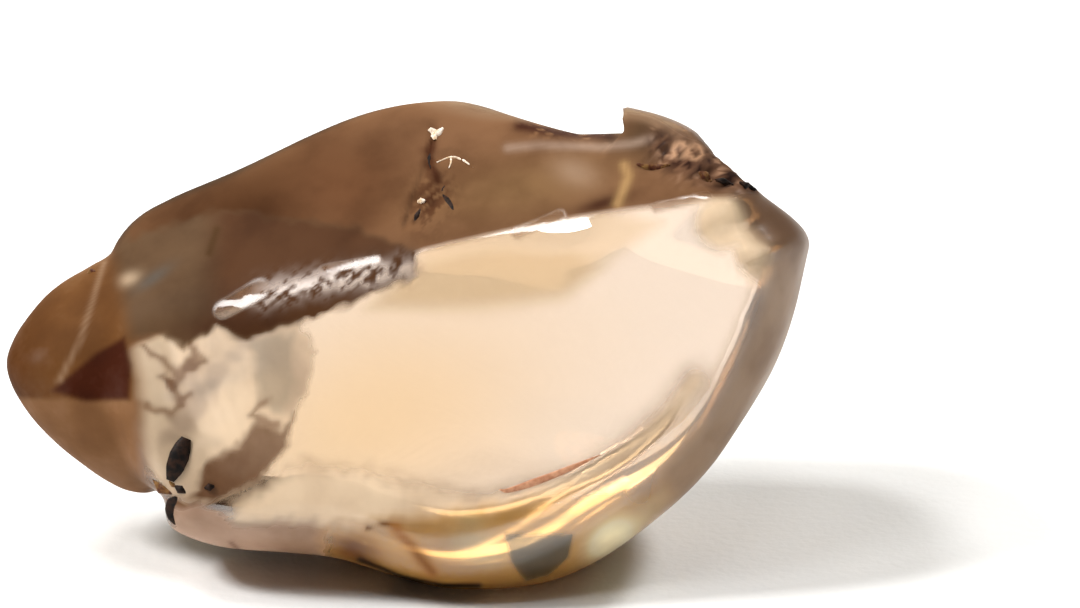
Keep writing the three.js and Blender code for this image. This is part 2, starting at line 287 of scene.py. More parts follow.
def saddle(s, t, q):
    """How far a point is above the saddle's floor and left of the step, the smaller of the two. The
    floor rises to the left as a power of the run, and falls before and behind its crest."""
    run = np.clip((SADDLE_S - s) / RISE_RUN, 0, RISE_END)
    before = q - SADDLE_CREST
    fall = FALL_FRONT * np.maximum(0, before)**2 + FALL_BACK * np.minimum(0, before)
    floor = SADDLE_T + RISE_HEIGHT * run**RISE_POWER - fall
    wall = STEP_S + STEP_LEAN * (t - SADDLE_T) + STEP_SLANT * (q - STEP_Q)
    return np.minimum(t - floor, wall - s)


# %% [markdown]
# Relief comes in sizes. The largest, a crack with a branch, hollows, a shallow valley and slow waves, is
# in the measured model too. The small one is only here: hackles and pits where the edge was crushed, and
# ripples where an inner crack comes out. Each is a sum of bells or of crossed waves.

# %% Grooves, hollows and waves
CRACK = [(0.05, 2.12), (0.02, 1.80), (-0.12, 1.45), (-0.22, 1.12)]
CRACK_BRANCH = [(0.04, 1.80), (0.25, 1.83), (0.42, 1.72)]
CRACK_WIDTH = 0.03
CRACK_DEPTH = 0.035
HOLLOWS = [
    (0.12, 1.56, 0.06, 0.04), (0.15, 1.44, 0.06, 0.04), (0.04, 1.32, 0.07, 0.05),
    (-0.08, 1.38, 0.05, 0.04), (-0.12, 1.16, 0.07, 0.05), (2.22, 1.72, 0.10, 0.05),
    (2.46, 1.86, 0.10, 0.05), (2.74, 1.63, 0.10, 0.06), (-2.62, -0.10, 0.34, 0.07),
    (-2.25, -0.72, 0.38, 0.08), (-1.72, -0.30, 0.30, 0.05), (-2.70, -1.60, 0.16, 0.11),
]
VALLEY_S, VALLEY_LEAN, VALLEY_WIDTH, VALLEY_DEPTH = 1.15, 0.3, 0.55, 0.07
VALLEY_RISES, VALLEY_ENDS = (0.7, 1.3), (1.6, 2.0)
WAVE_DEPTH = 0.022
WAVE_ONE, WAVE_TWO, WAVE_SHIFT = (2.1, 1.3), (1.7, -2.3), 0.6
FRONT_SKIN = (-0.3, 0.2)
FAR = 9.0


def chain_distance(s, t, chain):
    """Distance in the front view to the nearest stretch of a chain of points."""
    nearest = np.full(np.shape(s), FAR)
    for (as_, at), (bs, bt) in zip(chain[:-1], chain[1:]):
        along = ((s - as_) * (bs - as_) + (t - at) * (bt - at)) / ((bs - as_)**2 + (bt - at)**2)
        u = np.clip(along, 0, 1)
        nearest = np.minimum(nearest, np.hypot(s - as_ - u * (bs - as_), t - at - u * (bt - at)))
    return nearest


def main_relief(s, t, q):
    """Crack, hollows, valley and slow waves, as a depth to take off."""
    crack = np.minimum(chain_distance(s, t, CRACK), chain_distance(s, t, CRACK_BRANCH))
    cut = CRACK_DEPTH * bell(crack / CRACK_WIDTH)
    for hs, ht, wide, deep in HOLLOWS:
        cut = cut + deep * bell(np.hypot(s - hs, t - ht) / wide)
    valley = VALLEY_DEPTH * bell((s - VALLEY_S - VALLEY_LEAN * t) / VALLEY_WIDTH)
    valley = valley * ease(t, *VALLEY_RISES) * (1 - ease(t, *VALLEY_ENDS))
    waves = WAVE_DEPTH * np.sin(WAVE_ONE[0] * s + WAVE_ONE[1] * t)
    waves = waves * np.sin(WAVE_TWO[0] * t + WAVE_TWO[1] * q + WAVE_SHIFT)
    return ease(q, *FRONT_SKIN) * (cut + valley) + waves


# %% Fine relief
RIPPLE_SHARES = (0.5, 0.3, 0.2)
RIPPLE_TURN = 2.4
RIPPLE_FINER = 0.61
RIPPLE_TILT = (0.35, 0.7)
RIPPLE_BEND, BEND_PITCH, CROSS_PITCH = 2, 0.4, 0.8
RIDGE_START, RIDGE_BACK_S = (-1.84, 0.36), 1.16
RIDGE_SLOPE, RIDGE_BOW = 0.27, 0.0276
CRUSHED_STARTS, CRUSHED_ENDS = (2.05, 2.35), (3.40, 3.60)
CRUSHED_EDGE, CRUSHED_SKIN = (-0.04, 0.10), (-0.3, 0.1)
CRUSHED_MIDDLE, CRUSHED_SLOPE, CRUSHED_WIDTH = (2.7, 1.72), 0.40, 0.20
HACKLE_DEPTH, HACKLE_PITCH, HACKLE_TURN = 0.03, 0.30, 0.5
PIT_COUNT, PIT_SPAN, PIT_SCATTER = 30, (2.15, 3.40), 0.18
PIT_WIDTHS, PIT_DEPTHS = (0.03, 0.06), (0.02, 0.05)
BROKEN_MIDDLE, BROKEN_REACH, BROKEN_SKIN = (-2.25, -0.45), (0.62, 0.75), (0.2, 0.8)
BROKEN_DEPTH, BROKEN_PITCH, BROKEN_TURN = 0.022, 0.75, 1.1


def ripples(s, t, q, pitch, turn):
    """Crossed waves of three pitches, each turned against the last, between -1 and 1."""
    total = 0
    for k, share in enumerate(RIPPLE_SHARES):
        a, f = turn + RIPPLE_TURN * k, 2 * np.pi / (pitch * RIPPLE_FINER**k)
        along = s * np.cos(a) + t * np.sin(a) + RIPPLE_TILT[0] * q
        across = q * np.cos(a) - s * np.sin(a) + RIPPLE_TILT[1] * t
        bent = f * along + RIPPLE_BEND * np.sin(BEND_PITCH * f * across)
        total = total + share * np.sin(bent) * np.cos(CROSS_PITCH * f * across)
    return total


def ridge_line(s):
    """Height t of the ridge between the top face and the window, a flat parabola."""
    run = s - RIDGE_START[0]
    return RIDGE_START[1] + RIDGE_SLOPE * run - RIDGE_BOW * run * (s - RIDGE_BACK_S)


def crushed_middle(s):
    """Height t of the middle of the crushed strip, a falling line."""
    return CRUSHED_MIDDLE[1] - CRUSHED_SLOPE * (s - CRUSHED_MIDDLE[0])


def crushed(s, t, q):
    """1 in the crushed strip between the fin and the right corner, along the upper edge."""
    along = ease(s, *CRUSHED_STARTS) * (1 - ease(s, *CRUSHED_ENDS))
    above = ease(t - ridge_line(s), *CRUSHED_EDGE)
    return along * above * bell((t - crushed_middle(s)) / CRUSHED_WIDTH) * ease(q, *CRUSHED_SKIN)


dice = np.random.default_rng(11)
pit_s = dice.uniform(*PIT_SPAN, PIT_COUNT)
pit_t = crushed_middle(pit_s) + dice.uniform(-PIT_SCATTER, PIT_SCATTER, PIT_COUNT)
pit_width = dice.uniform(*PIT_WIDTHS, PIT_COUNT)
pit_depth = dice.uniform(*PIT_DEPTHS, PIT_COUNT)
PITS = np.stack([pit_s, pit_t, pit_width, pit_depth], -1)


def fine_relief(s, t, q):
    """Hackles and pits in the crushed strip, and faint ripples over the fractured left of the front."""
    strip = crushed(s, t, q)
    hackles = HACKLE_DEPTH * strip * ripples(s, t, q, HACKLE_PITCH, HACKLE_TURN)
    for ps, pt, wide, deep in PITS:
        hackles = hackles + strip * deep * bell(np.hypot(s - ps, t - pt) / wide)
    broken = bell((s - BROKEN_MIDDLE[0]) / BROKEN_REACH[0]) * bell((t - BROKEN_MIDDLE[1]) / BROKEN_REACH[1])
    broken = broken * ease(q, *BROKEN_SKIN)
    return hackles + BROKEN_DEPTH * broken * ripples(s, t, q, BROKEN_PITCH, BROKEN_TURN)


# %% The whole field
CREASE_FRONT, CREASE_WIDENS, CREASE_SPAN = 0.10, 0.45, (0.3, 1.2)


def stone(s, t, q):
    """Both lobes, the saddle and the relief. The crease between the lobes is wider behind."""
    crease = CREASE_FRONT + CREASE_WIDENS * ease(-q, *CREASE_SPAN)
    field = rounded_min(main_lobe(s, t, q), nose_lobe(s, t, q), crease)
    field = rounded_max(field, saddle(s, t, q), EDGE["saddle"])
    return field + main_relief(s, t, q) + fine_relief(s, t, q)


# %% [markdown]
# The skin is found with rays. They leave a short spine inside the stone in every direction of a cube that
# was blown up into a ball, and each is halved until it meets the zero of the field. A cube's six grids
# have no pole, so the squares stay even. Doing all rays at once in numpy takes a few seconds.

# %% Grow the skin
SPINE = np.array([(-2.7, -0.25, 0.0), (2.1, 0.1, 0.0)])
REACH = 7.0
HALVINGS = 30
CELLS = ((190, 100, 80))
FIN_ROOT, FIN_TAIL = (1.8, 1.95), (2.2, 3.0)
SAME_DIRECTION = 1e-6


def cube_sides(cells):
    """Six grids of unit directions: (1, tan u, tan v) and its turns, divided by their length. The
    three counts are the squares along s, t and q."""
    lines = [np.tan(np.linspace(-np.pi / 4, np.pi / 4, count + 1)) for count in cells]
    for axis in range(3):
        u, v = np.meshgrid(lines[(axis + 1) % 3], lines[(axis + 2) % 3], indexing="ij")
        for end in (1, -1):
            a, b = (u, v) if end > 0 else (u.T, v.T)
            side = np.roll(np.stack([np.full_like(a, end), a, b], -1), axis, axis=-1)
            yield side / np.linalg.norm(side, axis=-1, keepdims=True)


def skin(directions):
    """The first zero of the field from the spine: the middle of the ray's bracket, halved again and
    again. The fin is then sheared to the left over the saddle."""
    share = (directions[:, :1] + 1) / 2
    start = SPINE[0] * (1 - share) + SPINE[1] * share
    near = np.zeros((len(directions), 1))
    far = near + REACH
    for _ in range(HALVINGS):
        middle = (near + far) / 2
        s, t, q = (start + directions * middle).T
        below_base = -BASE_BELOW - height(t, q)
        inside = (rounded_max(stone(s, t, q), below_base, EDGE["base"]) < 0)[:, None]
        near = np.where(inside, middle, near)
        far = np.where(inside, far, middle)
    points = start + directions * near
    s, t = points[:, 0], points[:, 1]
    on_fin = ease(s, *FIN_ROOT) * (1 - ease(s, *FIN_TAIL))
    points[:, 0] = s - STEP_OVERHANG * np.maximum(0, t - SADDLE_T) * on_fin
    return points


sides = list(cube_sides(CELLS))
directions = np.concatenate([side.reshape(-1, 3) for side in sides])
rounded = np.round(directions / SAME_DIRECTION).astype(int)
_, first, same = np.unique(rounded, axis=0, return_index=True, return_inverse=True)
same = same.ravel()
squares, used = [], 0
for side in sides:
    n = same[used:used + side.size // 3].reshape(side.shape[:2])
    squares.append(np.stack([n[:-1, :-1], n[1:, :-1], n[1:, 1:], n[:-1, 1:]], -1).reshape(-1, 4))
    used += n.size
squares = np.concatenate(squares)
skin_points = skin(directions[first])
print("skin:", len(skin_points), "points,", len(squares), "squares")

# %% [markdown]
# The fine skin is stood on the base face and moved so that the middle of its box is over the origin, as
# in the measured model. Everything placed later in the stone's frame goes through the same function.

# %% Place it over the origin
level = stand(skin_points)
MIDDLE = (level.min(0) + level.max(0))[:2] / 2


def place(points):
    """Stone frame in millimetres to model frame in metres."""
    out = stand(points)
    out[..., :2] -= MIDDLE
    out[..., 2] = np.maximum(out[..., 2], 0)
    return out * MM


def mesh_piece(name, points, faces, finish):
    """A mesh object at the origin, its place in its points, smooth, with one finish."""
    mesh = bpy.data.meshes.new(name)
    mesh.from_pydata(points.tolist(), [], faces if isinstance(faces, list) else faces.tolist())
    mesh.polygons.foreach_set("use_smooth", np.ones(len(faces), bool))
    mesh.materials.append(finish)
    mesh.update()
    piece = bpy.data.objects.new(name, mesh)
    bpy.context.scene.collection.objects.link(piece)
    return piece


# %% [markdown]
# Shader maths reads best as ordinary sums. A Wire holds one output of a node, and + - * / on it add
# Math nodes to the tree. Every other node comes from one method that takes the type, the settings and
# the sockets by name.

# %% Write materials as expressions
class Wire:
    """One value in a node tree. Python's operators on it add Math nodes."""

    def __init__(self, tree, socket):
        self.tree = tree
        self.socket = socket

    def math(self, operation, *values):
        """A Math node of any operation, on the given values."""
        node = self.tree.nodes.new("ShaderNodeMath")
        node.operation = operation
        for slot, value in zip(node.inputs, values):
            plug(self.tree, slot, value)
        return Wire(self.tree, node.outputs[0])

    def __add__(self, other):
        return self.math("ADD", self, other)

    def __radd__(self, other):
        return self.math("ADD", other, self)

    def __sub__(self, other):
        return self.math("SUBTRACT", self, other)

    def __rsub__(self, other):
        return self.math("SUBTRACT", other, self)

    def __mul__(self, other):
        return self.math("MULTIPLY", self, other)

    def __rmul__(self, other):
        return self.math("MULTIPLY", other, self)

    def __truediv__(self, other):
        return self.math("DIVIDE", self, other)

    def __rtruediv__(self, other):
        return self.math("DIVIDE", other, self)

    def larger(self, other):
        """The larger of two values."""
        return self.math("MAXIMUM", self, other)

    def smaller(self, other):
        """The smaller of two values."""
        return self.math("MINIMUM", self, other)

    def rise(self, start, end):
        """0 before start and 1 after end, with a smooth ramp between; start may be the larger."""
        u = ((self - start) / (end - start)).larger(0).smaller(1)
        return u * u * (3 - 2 * u)


def plug(tree, slot, value):
    """Links a Wire to a socket, or writes a plain value on it."""
    if isinstance(value, Wire):
        tree.links.new(value.socket, slot)
    else:
        slot.default_value = value


class Finish:
    """A material, or a world, whose nodes are made by one method."""

    def __init__(self, name, tree=None):
        if tree is None:
            self.material = bpy.data.materials.new(name)
            self.material.use_nodes = True
            tree = self.material.node_tree
        tree.nodes.clear()
        self.tree = tree

    def node(self, kind, settings=None, sockets=None, out=0):
        """Adds a node, sets it, fills its sockets and returns one output."""
        node = self.tree.nodes.new("ShaderNode" + kind)
        for key, value in (settings or {}).items():
            setattr(node, key, value)
        for key, value in (sockets or {}).items():
            plug(self.tree, node.inputs[key], value)
        return Wire(self.tree, node.outputs[out]) if len(node.outputs) else node

    def noise(self, size, detail):
        """Noise with grains of a size in millimetres, about 0 to 1."""
        spot = self.node("TexCoord", out="Object")
        return self.node("TexNoise", sockets={"Vector": spot, "Scale": 1 / (size * MM), "Detail": detail})

    def blend(self, amount, first_colour, second_colour, how="MIX"):
        """A mix of two colours, which are its sockets 6 and 7."""
        return self.node("Mix", {"data_type": "RGBA", "blend_type": how},
                         {"Factor": amount, 6: first_colour, 7: second_colour}, out=2)

    def bump(self, height, strength, distance):
        """A bump that is so many metres high at full strength."""
        return self.node("Bump", sockets={"Height": height, "Strength": strength, "Distance": distance})


# %% [markdown]
# The skin is not the same all over. The window is glassy. The top, the nose and the rim kept their
# natural skin, finely etched and with a brown stain, which lets less light through and looks soft. The
# left of the front is fractured. Part of the paint is painted light and shade: the right corner and a band
# low on the front are painted pale, as light as the view through the window, the lower edge has a painted
# golden glow with painted bright spots, the ridge, the top and the nose have painted highlights and sheen,
# and there is painted shade under the lower edge, along the top's outline and on one face of the nose.
# Each is a mask, 0 to 1, worked out for all points at once: rings of corners make the areas, paths make
# the lines and bells make the spots.

# %% Shapes in the front view
def linear(red, green, blue):
    """A colour given in the usual 0 to 255 steps, as the light it stands for on the usual screen curve."""
    c = np.array([red, green, blue]) / 255
    return np.where(c < 0.04045, c / 12.92, ((c + 0.055) / 1.055)**2.4)


def spot(s, t, at, wide, high, turn):
    """A bell of the distance, counted in its two half-widths. The turn is in degrees."""
    a = math.radians(turn)
    ds, dt = s - at[0], t - at[1]
    along, across = ds * math.cos(a) + dt * math.sin(a), dt * math.cos(a) - ds * math.sin(a)
    return np.exp(-(along / wide)**2 - (across / high)**2)


def patch(s, t, soft, corners):
    """1 inside a ring of corners and 0 outside, fading over a soft edge. A point is inside when a level
    line from it crosses the ring an odd number of times."""
    inside = np.zeros(np.shape(s), bool)
    ring = corners + corners[:1]
    for (s0, t0), (s1, t1) in zip(ring[:-1], ring[1:]):
        rise = t1 - t0 if t1 != t0 else 1.0
        inside ^= ((t0 > t) != (t1 > t)) & (s < s0 + (t - t0) * (s1 - s0) / rise)
    away = chain_distance(s, t, ring)
    return ease(np.where(inside, away, -away), -soft, soft)


def stroke(s, t, wide, path):
    """A soft line along a path, as a bell of the distance to it."""
    return bell(chain_distance(s, t, path) / wide)


# %% The large regions
FRONT_EDGE = (-0.2, 0.3)
TOP_EDGE, TOP_ENDS_BEHIND = (-0.07, 0.05), (-1.3, -0.9)
NOSE_EDGE = (2.70, 2.95)
NOSE_LEAN, LEAN_FROM = 0.25, -0.4
NOSE_FLARE, FLARE_FROM = 0.12, -0.9
RIM_STARTS, RIM_FULL = -0.64, -0.26
THINNER_RIM, THINNER_STARTS, THINNER_FULL = (0.30, 0.48), 0.34, 0.16
RIM_SLANT, RIM_LEFT_END = 0.5, (1.0, 1.8)
RAGGED, RAGGED_PITCH, RAGGED_TURNS = 0.05, 0.5, (0.9, 2.2)
MOTTLE_PITCH, MOTTLE_TURN = 1.1, 0.2
CRUMB_PITCH, CRUMB_TURN = 0.24, 1.9


def large_regions(s, t, q):
    """By name: the regions that all others lie on, two patterns that break them up, the depth inside the
    outline and the height over the ridge."""
    angle, depth = main_depth(s, t)
    over = t - ridge_line(s)
    lean = NOSE_LEAN * np.maximum(0, t - LEAN_FROM)
    flare = NOSE_FLARE * np.maximum(0, FLARE_FROM - t)
    thinner = ease(angle, *THINNER_RIM)
    rim = ease(depth, RIM_STARTS + THINNER_STARTS * thinner, RIM_FULL + THINNER_FULL * thinner)
    rim = rim * ease(s + RIM_SLANT * t, *RIM_LEFT_END)
    return {
        "everywhere": np.ones(len(s)), "depth": depth, "over": over, "front": ease(q, *FRONT_EDGE),
        "top": ease(over, *TOP_EDGE) * ease(q, *TOP_ENDS_BEHIND),
        "nose": ease(-s - lean + flare, *NOSE_EDGE), "rim": rim, "off_rim": 1 - rim,
        "strip": crushed(s, t, q),
        "mottle": 0.5 + 0.5 * ripples(s, t, q, MOTTLE_PITCH, MOTTLE_TURN),
        "crumb": 0.5 + 0.5 * ripples(s, t, q, CRUMB_PITCH, CRUMB_TURN),
    }


# %% Areas: the region each lies on, whether its edge is ragged, how soft the edge is, and its corners
PATCHES = {
    "shoulder": ("front", True, 0.06, [
        (-3.40, 0.90), (-2.08, 1.30), (-0.70, 1.10), (-0.10, 0.86), (-0.15, 0.62), (-1.00, 0.26),
        (-1.35, 0.14), (-1.80, 0.04), (-2.10, 0.12), (-2.42, -0.10), (-2.62, 0.06), (-3.02, 0.00)]),
    "broken": ("front", True, 0.05, [
        (-3.04, 0.06), (-2.60, 0.12), (-1.30, 0.20), (-1.10, -0.10), (-1.24, -0.62), (-1.45, -1.15),
        (-1.90, -1.50), (-2.20, -1.62), (-2.60, -1.50), (-2.86, -1.10), (-3.00, -0.60)]),
    "brown_tongue": ("front", True, 0.05, [
        (-1.85, -1.00), (-1.68, -0.78), (-1.45, -0.88), (-1.30, -0.74), (-1.44, -1.15),
        (-1.72, -1.42), (-2.12, -1.60), (-2.34, -1.52), (-2.20, -1.22)]),
    "grey_tongue": ("front", True, 0.07, [
        (-1.75, 0.02), (-1.30, 0.08), (-1.30, -0.58), (-1.45, -0.72), (-1.62, -0.66), (-1.68, -0.30)]),
    "chin": ("front", True, 0.05, [
        (-2.62, -1.66), (-2.20, -1.62), (-1.90, -1.80), (-1.00, -1.80), (-0.98, -2.30), (-2.40, -2.30)]),
    # painted light: a pale band low on the front, painted as light as the view through the window there
    "pale_band_low": ("front", True, 0.14, [
        (-1.95, -1.60), (-1.50, -1.34), (-1.20, -1.20), (-0.60, -1.28), (-0.20, -1.38), (0.50, -1.50),
        (1.00, -1.44), (0.95, -1.66), (0.20, -1.84), (-1.00, -1.84), (-1.90, -1.80)]),
    # painted glow: the golden area on the lower edge is painted and tinted golden, with painted bright
    # spots, standing for light from behind that leaves there
    "golden": ("off_rim", True, 0.16, [
        (-1.00, -1.86), (-0.60, -1.82), (-0.22, -1.80), (0.05, -1.72), (0.80, -1.64), (1.30, -1.52),
        (1.80, -1.36), (2.20, -1.15), (2.60, -0.80), (2.90, -0.90), (2.60, -2.60), (-0.90, -2.60)]),
    "nose_shade": ("nose", False, 0.04, [
        (-3.74, -0.50), (-3.55, -0.34), (-3.28, -0.12), (-3.00, 0.03), (-2.92, -0.24),
        (-2.95, -0.58), (-3.40, -0.60)]),
    "smoky_corners": ("front", False, 0.03, [
        (0.75, -1.89), (1.43, -1.90), (1.38, -2.14), (1.18, -2.32), (0.96, -2.38), (0.82, -2.18)]),
    # painted shade: the window's tint is darker in this area, standing for the paper seen through it being
    # less lit
    "window_shade": ("everywhere", False, 0.12, [(-0.6, 0.3), (1.30, 0.40), (2.30, 1.16), (0.6, 1.6)]),
}

# %% Lines: the region each lies on, whether it is ragged, its half-width, and its path
STROKES = {
    "junction": ("front", True, 0.08, [(-2.92, -1.36), (-2.76, -1.50), (-2.58, -1.60), (-2.30, -1.63)]),
    "crack_stain": ("front", True, 0.05, [(0.05, 2.04), (0.00, 1.86), (0.03, 1.70), (0.10, 1.56)]),
    # painted sheen: a pale silvery band along the rough left part of the ridge, standing for a lamp's
    # reflection there
    "rough_ridge_sheen": ("front", True, 0.12, [(-1.60, 0.46), (-0.90, 0.60), (-0.20, 0.68)]),
    # painted light: the pale band continues to the right along the lower edge
    "pale_band_right": ("front", False, 0.15, [
        (1.00, -1.52), (1.55, -1.34), (1.95, -1.10), (2.38, -0.72), (2.62, -0.40)]),
    # painted highlight: a pale line along the crease between the nose's faces
    "nose_crease_highlight": ("front", False, 0.03, [(-3.25, 0.76), (-3.33, 0.42), (-3.45, 0.00), (-3.66, -0.40)]),
    "slit": ("top", False, 0.035, [(-2.10, 1.10), (-2.13, 1.00), (-2.17, 0.86)]),
    "saddle_band": ("everywhere", False, 0.07, [(0.90, 2.13), (1.25, 2.06), (1.80, 2.03)]),
    "saddle_sheen": ("front", False, 0.045, [
        (0.78, 1.90), (1.10, 1.93), (1.40, 1.92), (1.70, 1.91), (2.00, 1.94), (2.20, 1.99)]),
    "spindle": ("front", False, 0.05, [(1.93, 1.72), (1.97, 1.62), (1.91, 1.46), (1.86, 1.34)]),
    "smoky_lens": ("front", False, 0.06, [(0.74, -1.80), (1.05, -1.82), (1.40, -1.72)]),
    # painted shade: a dark line under the lower front edge, where the stone meets the paper
    "under_edge_shade": ("front", False, 0.05, [(-0.68, -2.16), (-0.25, -2.34), (0.15, -2.42), (0.50, -2.42)]),
    "gold_line": ("front", False, 0.02, [(-0.60, -1.84), (-0.45, -1.80), (-0.23, -1.78)]),
    "gold_diagonal": ("front", False, 0.08, [(-0.32, -1.84), (-0.16, -2.02), (0.04, -2.28)]),
    "chin_streak": ("front", False, 0.025, [(-1.95, -2.00), (-1.86, -2.10), (-1.78, -2.18)]),
}
BROKEN_LINE_WIDTH = 0.045
BROKEN_LINES = [
    [(-2.80, -0.08), (-2.62, -0.20), (-2.48, -0.30)], [(-2.52, -0.42), (-2.38, -0.30), (-2.22, -0.18)],
    [(-2.76, -0.64), (-2.55, -0.72), (-2.34, -0.54)], [(-2.60, -0.34), (-2.48, -0.52), (-2.40, -0.62)],
    [(-1.60, -0.60), (-1.75, -0.74), (-1.52, -0.84)], [(-2.36, 0.02), (-2.28, -0.12), (-2.40, -0.24)],
]
POLISHED = [
    (0.11, [(-2.02, 0.30), (-1.66, 0.50)]), (0.05, [(-1.02, 0.70), (-0.50, 0.80)]),
    (0.065, [(0.88, 1.06), (1.30, 1.24)]), (0.055, [(2.24, 1.31), (2.74, 1.42)]),
]

# %% Spots: the region each lies on, its middle, its two half-widths and its turn
SPOTS = {
    "top_left": ("top", (-1.9, 1.2), 1.7, 0.8, 20),
    "fin_side": ("top", (2.25, 2.05), 0.50, 0.30, 0),
    "top_middle": ("top", (-0.8, 1.5), 0.6, 0.5, 0),
    "top_right": ("top", (0.9, 1.5), 0.9, 0.30, 10),
    # painted sheen: a paler spot on the top
    "top_sheen_spot": ("top", (1.45, 1.66), 0.22, 0.13, -20),
    "dark_streak": ("top", (1.70, 1.34), 0.30, 0.07, 18),
    "shoulder_foot": ("shoulder", (-1.9, 0.15), 0.6, 0.14, 8),
    "shoulder_glint": ("shoulder", (-3.0, 0.60), 0.13, 0.07, 20),
    "shoulder_grey": ("shoulder", (-2.72, 0.62), 0.20, 0.06, 35),
    "crack_foot": ("front", (0.02, 1.40), 0.20, 0.30, -20),
    "chin_dark": ("chin", (-1.25, -2.05), 0.30, 0.3, 0),
    # the left end of the painted golden glow is painted darker
    "amber_shade": ("golden", (-0.75, -2.05), 0.42, 0.3, 0),
    "amber_skin": ("golden", (-0.75, -2.05), 0.40, 0.3, 0),
    # painted glow: a bright spot painted near the lower right edge
    "bright_glow_spot": ("front", (1.80, -1.96), 0.26, 0.16, 38),
    # painted light: two pale spots in the right corner, painted as light as the view through the window
    # there
    "pale_corner_upper": ("front", (2.90, 1.16), 0.26, 0.26, 0),
    "pale_corner_lower": ("front", (3.20, 0.86), 0.18, 0.26, 20),
    "window_warm": ("everywhere", (-0.6, -0.8), 1.8, 1.1, 20),
}
GLOWS = [((0.42, -2.00), 0.20, 0.14, -10), ((0.55, -2.08), 0.22, 0.14, 0), ((0.42, -1.74), 0.14, 0.08, 0),
         ((1.90, -1.96), 0.22, 0.12, 35), ((2.25, -1.62), 0.36, 0.09, 48)]
RINGS = [(2.48, 1.88), (2.63, 1.86)]
RING_RADIUS, RING_WIDTH = 0.07, 0.02

# %% Parts of regions: the region, what is measured, and between which of its values the part begins
PARTS = {
    "broken_mottle": ("broken", "mottle", (0.5, 0.8)),
    "shoulder_right": ("shoulder", "right", (-2.35, -1.95)),
    # painted shade: the top is darker along its outline
    "top_outline_shade": ("top", "depth", (-0.11, -0.03)),
    "rim_upper": ("rim", "up", (0.4, 1.2)),
    "nose_tip": ("nose", "left", (3.5, 4.2)),
    "nose_lower": ("nose", "down", (0.54, 0.62)),
    "crack_foot": ("crack_foot", "crumb", (0.4, 0.6)),
    "saddle_band": ("saddle_band", "toward", (-1.2, -0.8)),
    "saddle_crumbs": ("saddle_band", "crumb", (0.2, 0.4)),
    "strip_dark": ("strip", "crumb", (0.50, 0.64)),
    "strip_pale": ("strip", "not_crumb", (0.62, 0.8)),
    # the painted sheen on the ridge is broken up by the crumb pattern
    "rough_ridge_sheen": ("rough_ridge_sheen", "crumb", (0.25, 0.6)),
    "golden_front": ("golden", "toward", FRONT_EDGE),
    "pale_corner_skin": ("everywhere", "cloud", (0.1, 0.6)),
}
POLISHED_EDGE = (0.1, 0.8)
ABOVE_RIDGE = (-0.04, 0.03)


def skin_masks(s, t, q):
    """All masks of the skin by name. A name with several masks of one kind holds a row for each."""
    m = large_regions(s, t, q)
    ragged = [one + RAGGED * ripples(s, t, q, RAGGED_PITCH, turn) for one, turn in zip((s, t), RAGGED_TURNS)]
    for shape, table in ((patch, PATCHES), (stroke, STROKES)):
        for name, (limit, is_ragged, size, points) in table.items():
            m[name] = shape(*(ragged if is_ragged else (s, t)), size, points) * m[limit]
    for name, (limit, *row) in SPOTS.items():
        m[name] = spot(s, t, *row) * m[limit]
    m["broken_lines"] = sum(stroke(*ragged, BROKEN_LINE_WIDTH, path) for path in BROKEN_LINES) * m["front"]
    m["pale_band"] = np.maximum(m["pale_band_low"], m["pale_band_right"])
    # the mask named cloud is the painted pale light in the right corner
    m["cloud"] = np.maximum(m["pale_corner_upper"], m["pale_corner_lower"])
    m["glows"] = np.stack([spot(s, t, *row) * m["golden"] for row in GLOWS])
    rings = [np.abs(np.hypot(s - at, t - up) - RING_RADIUS) for at, up in RINGS]
    m["rings"] = np.stack([bell(ring / RING_WIDTH) * m["front"] for ring in rings])
    m["polished"] = np.stack([ease(stroke(s, t, *row), *POLISHED_EDGE) * m["front"] for row in POLISHED])
    m["polished_above"] = m["polished"] * ease(m["over"], *ABOVE_RIDGE)
    m.update({"right": s, "left": -s, "up": t, "down": -t, "toward": q, "not_crumb": 1 - m["crumb"]})
    for name, (region, measured, span) in PARTS.items():
        m[name] = m[region] * ease(m[measured], *span)
    return m


# %% [markdown]
# Four things are painted with the masks and stored on the mesh for the material to read: how much of the
# skin is covered with paint, the paint's colour, which is a brown stain and in places painted light and
# shade, the tint of the light that passes, and the roughness. Paint is laid on in coats, like glaze on a
# pot: each covers what is there as far as its mask says.

# %% How much of the skin is covered with paint, brown stain and painted light and shade alike
PAINT_SHARE_COATS = [
    ("pale_corner_skin", 0.85), ("broken", 0.62), ("brown_tongue", 0.86), ("broken_lines", 0.8), ("top", 1.1),
    ("shoulder", 1.1), ("rim", 0.84), ("nose", 0.94), ("junction", 0.95), ("pale_band", 0.84), ("chin", 0.82),
    ("golden_front", 0.36), ("strip", 0.95), ("amber_skin", 0.75), ("glows", 0.35), ("smoky_corners", 0.45),
    ("bright_glow_spot", 0.9), ("under_edge_shade", 0.95), ("gold_line", 0.85), ("gold_diagonal", 0.85),
    ("chin_streak", 0.85), ("polished", 0.62), ("rough_ridge_sheen", 0.70),
]

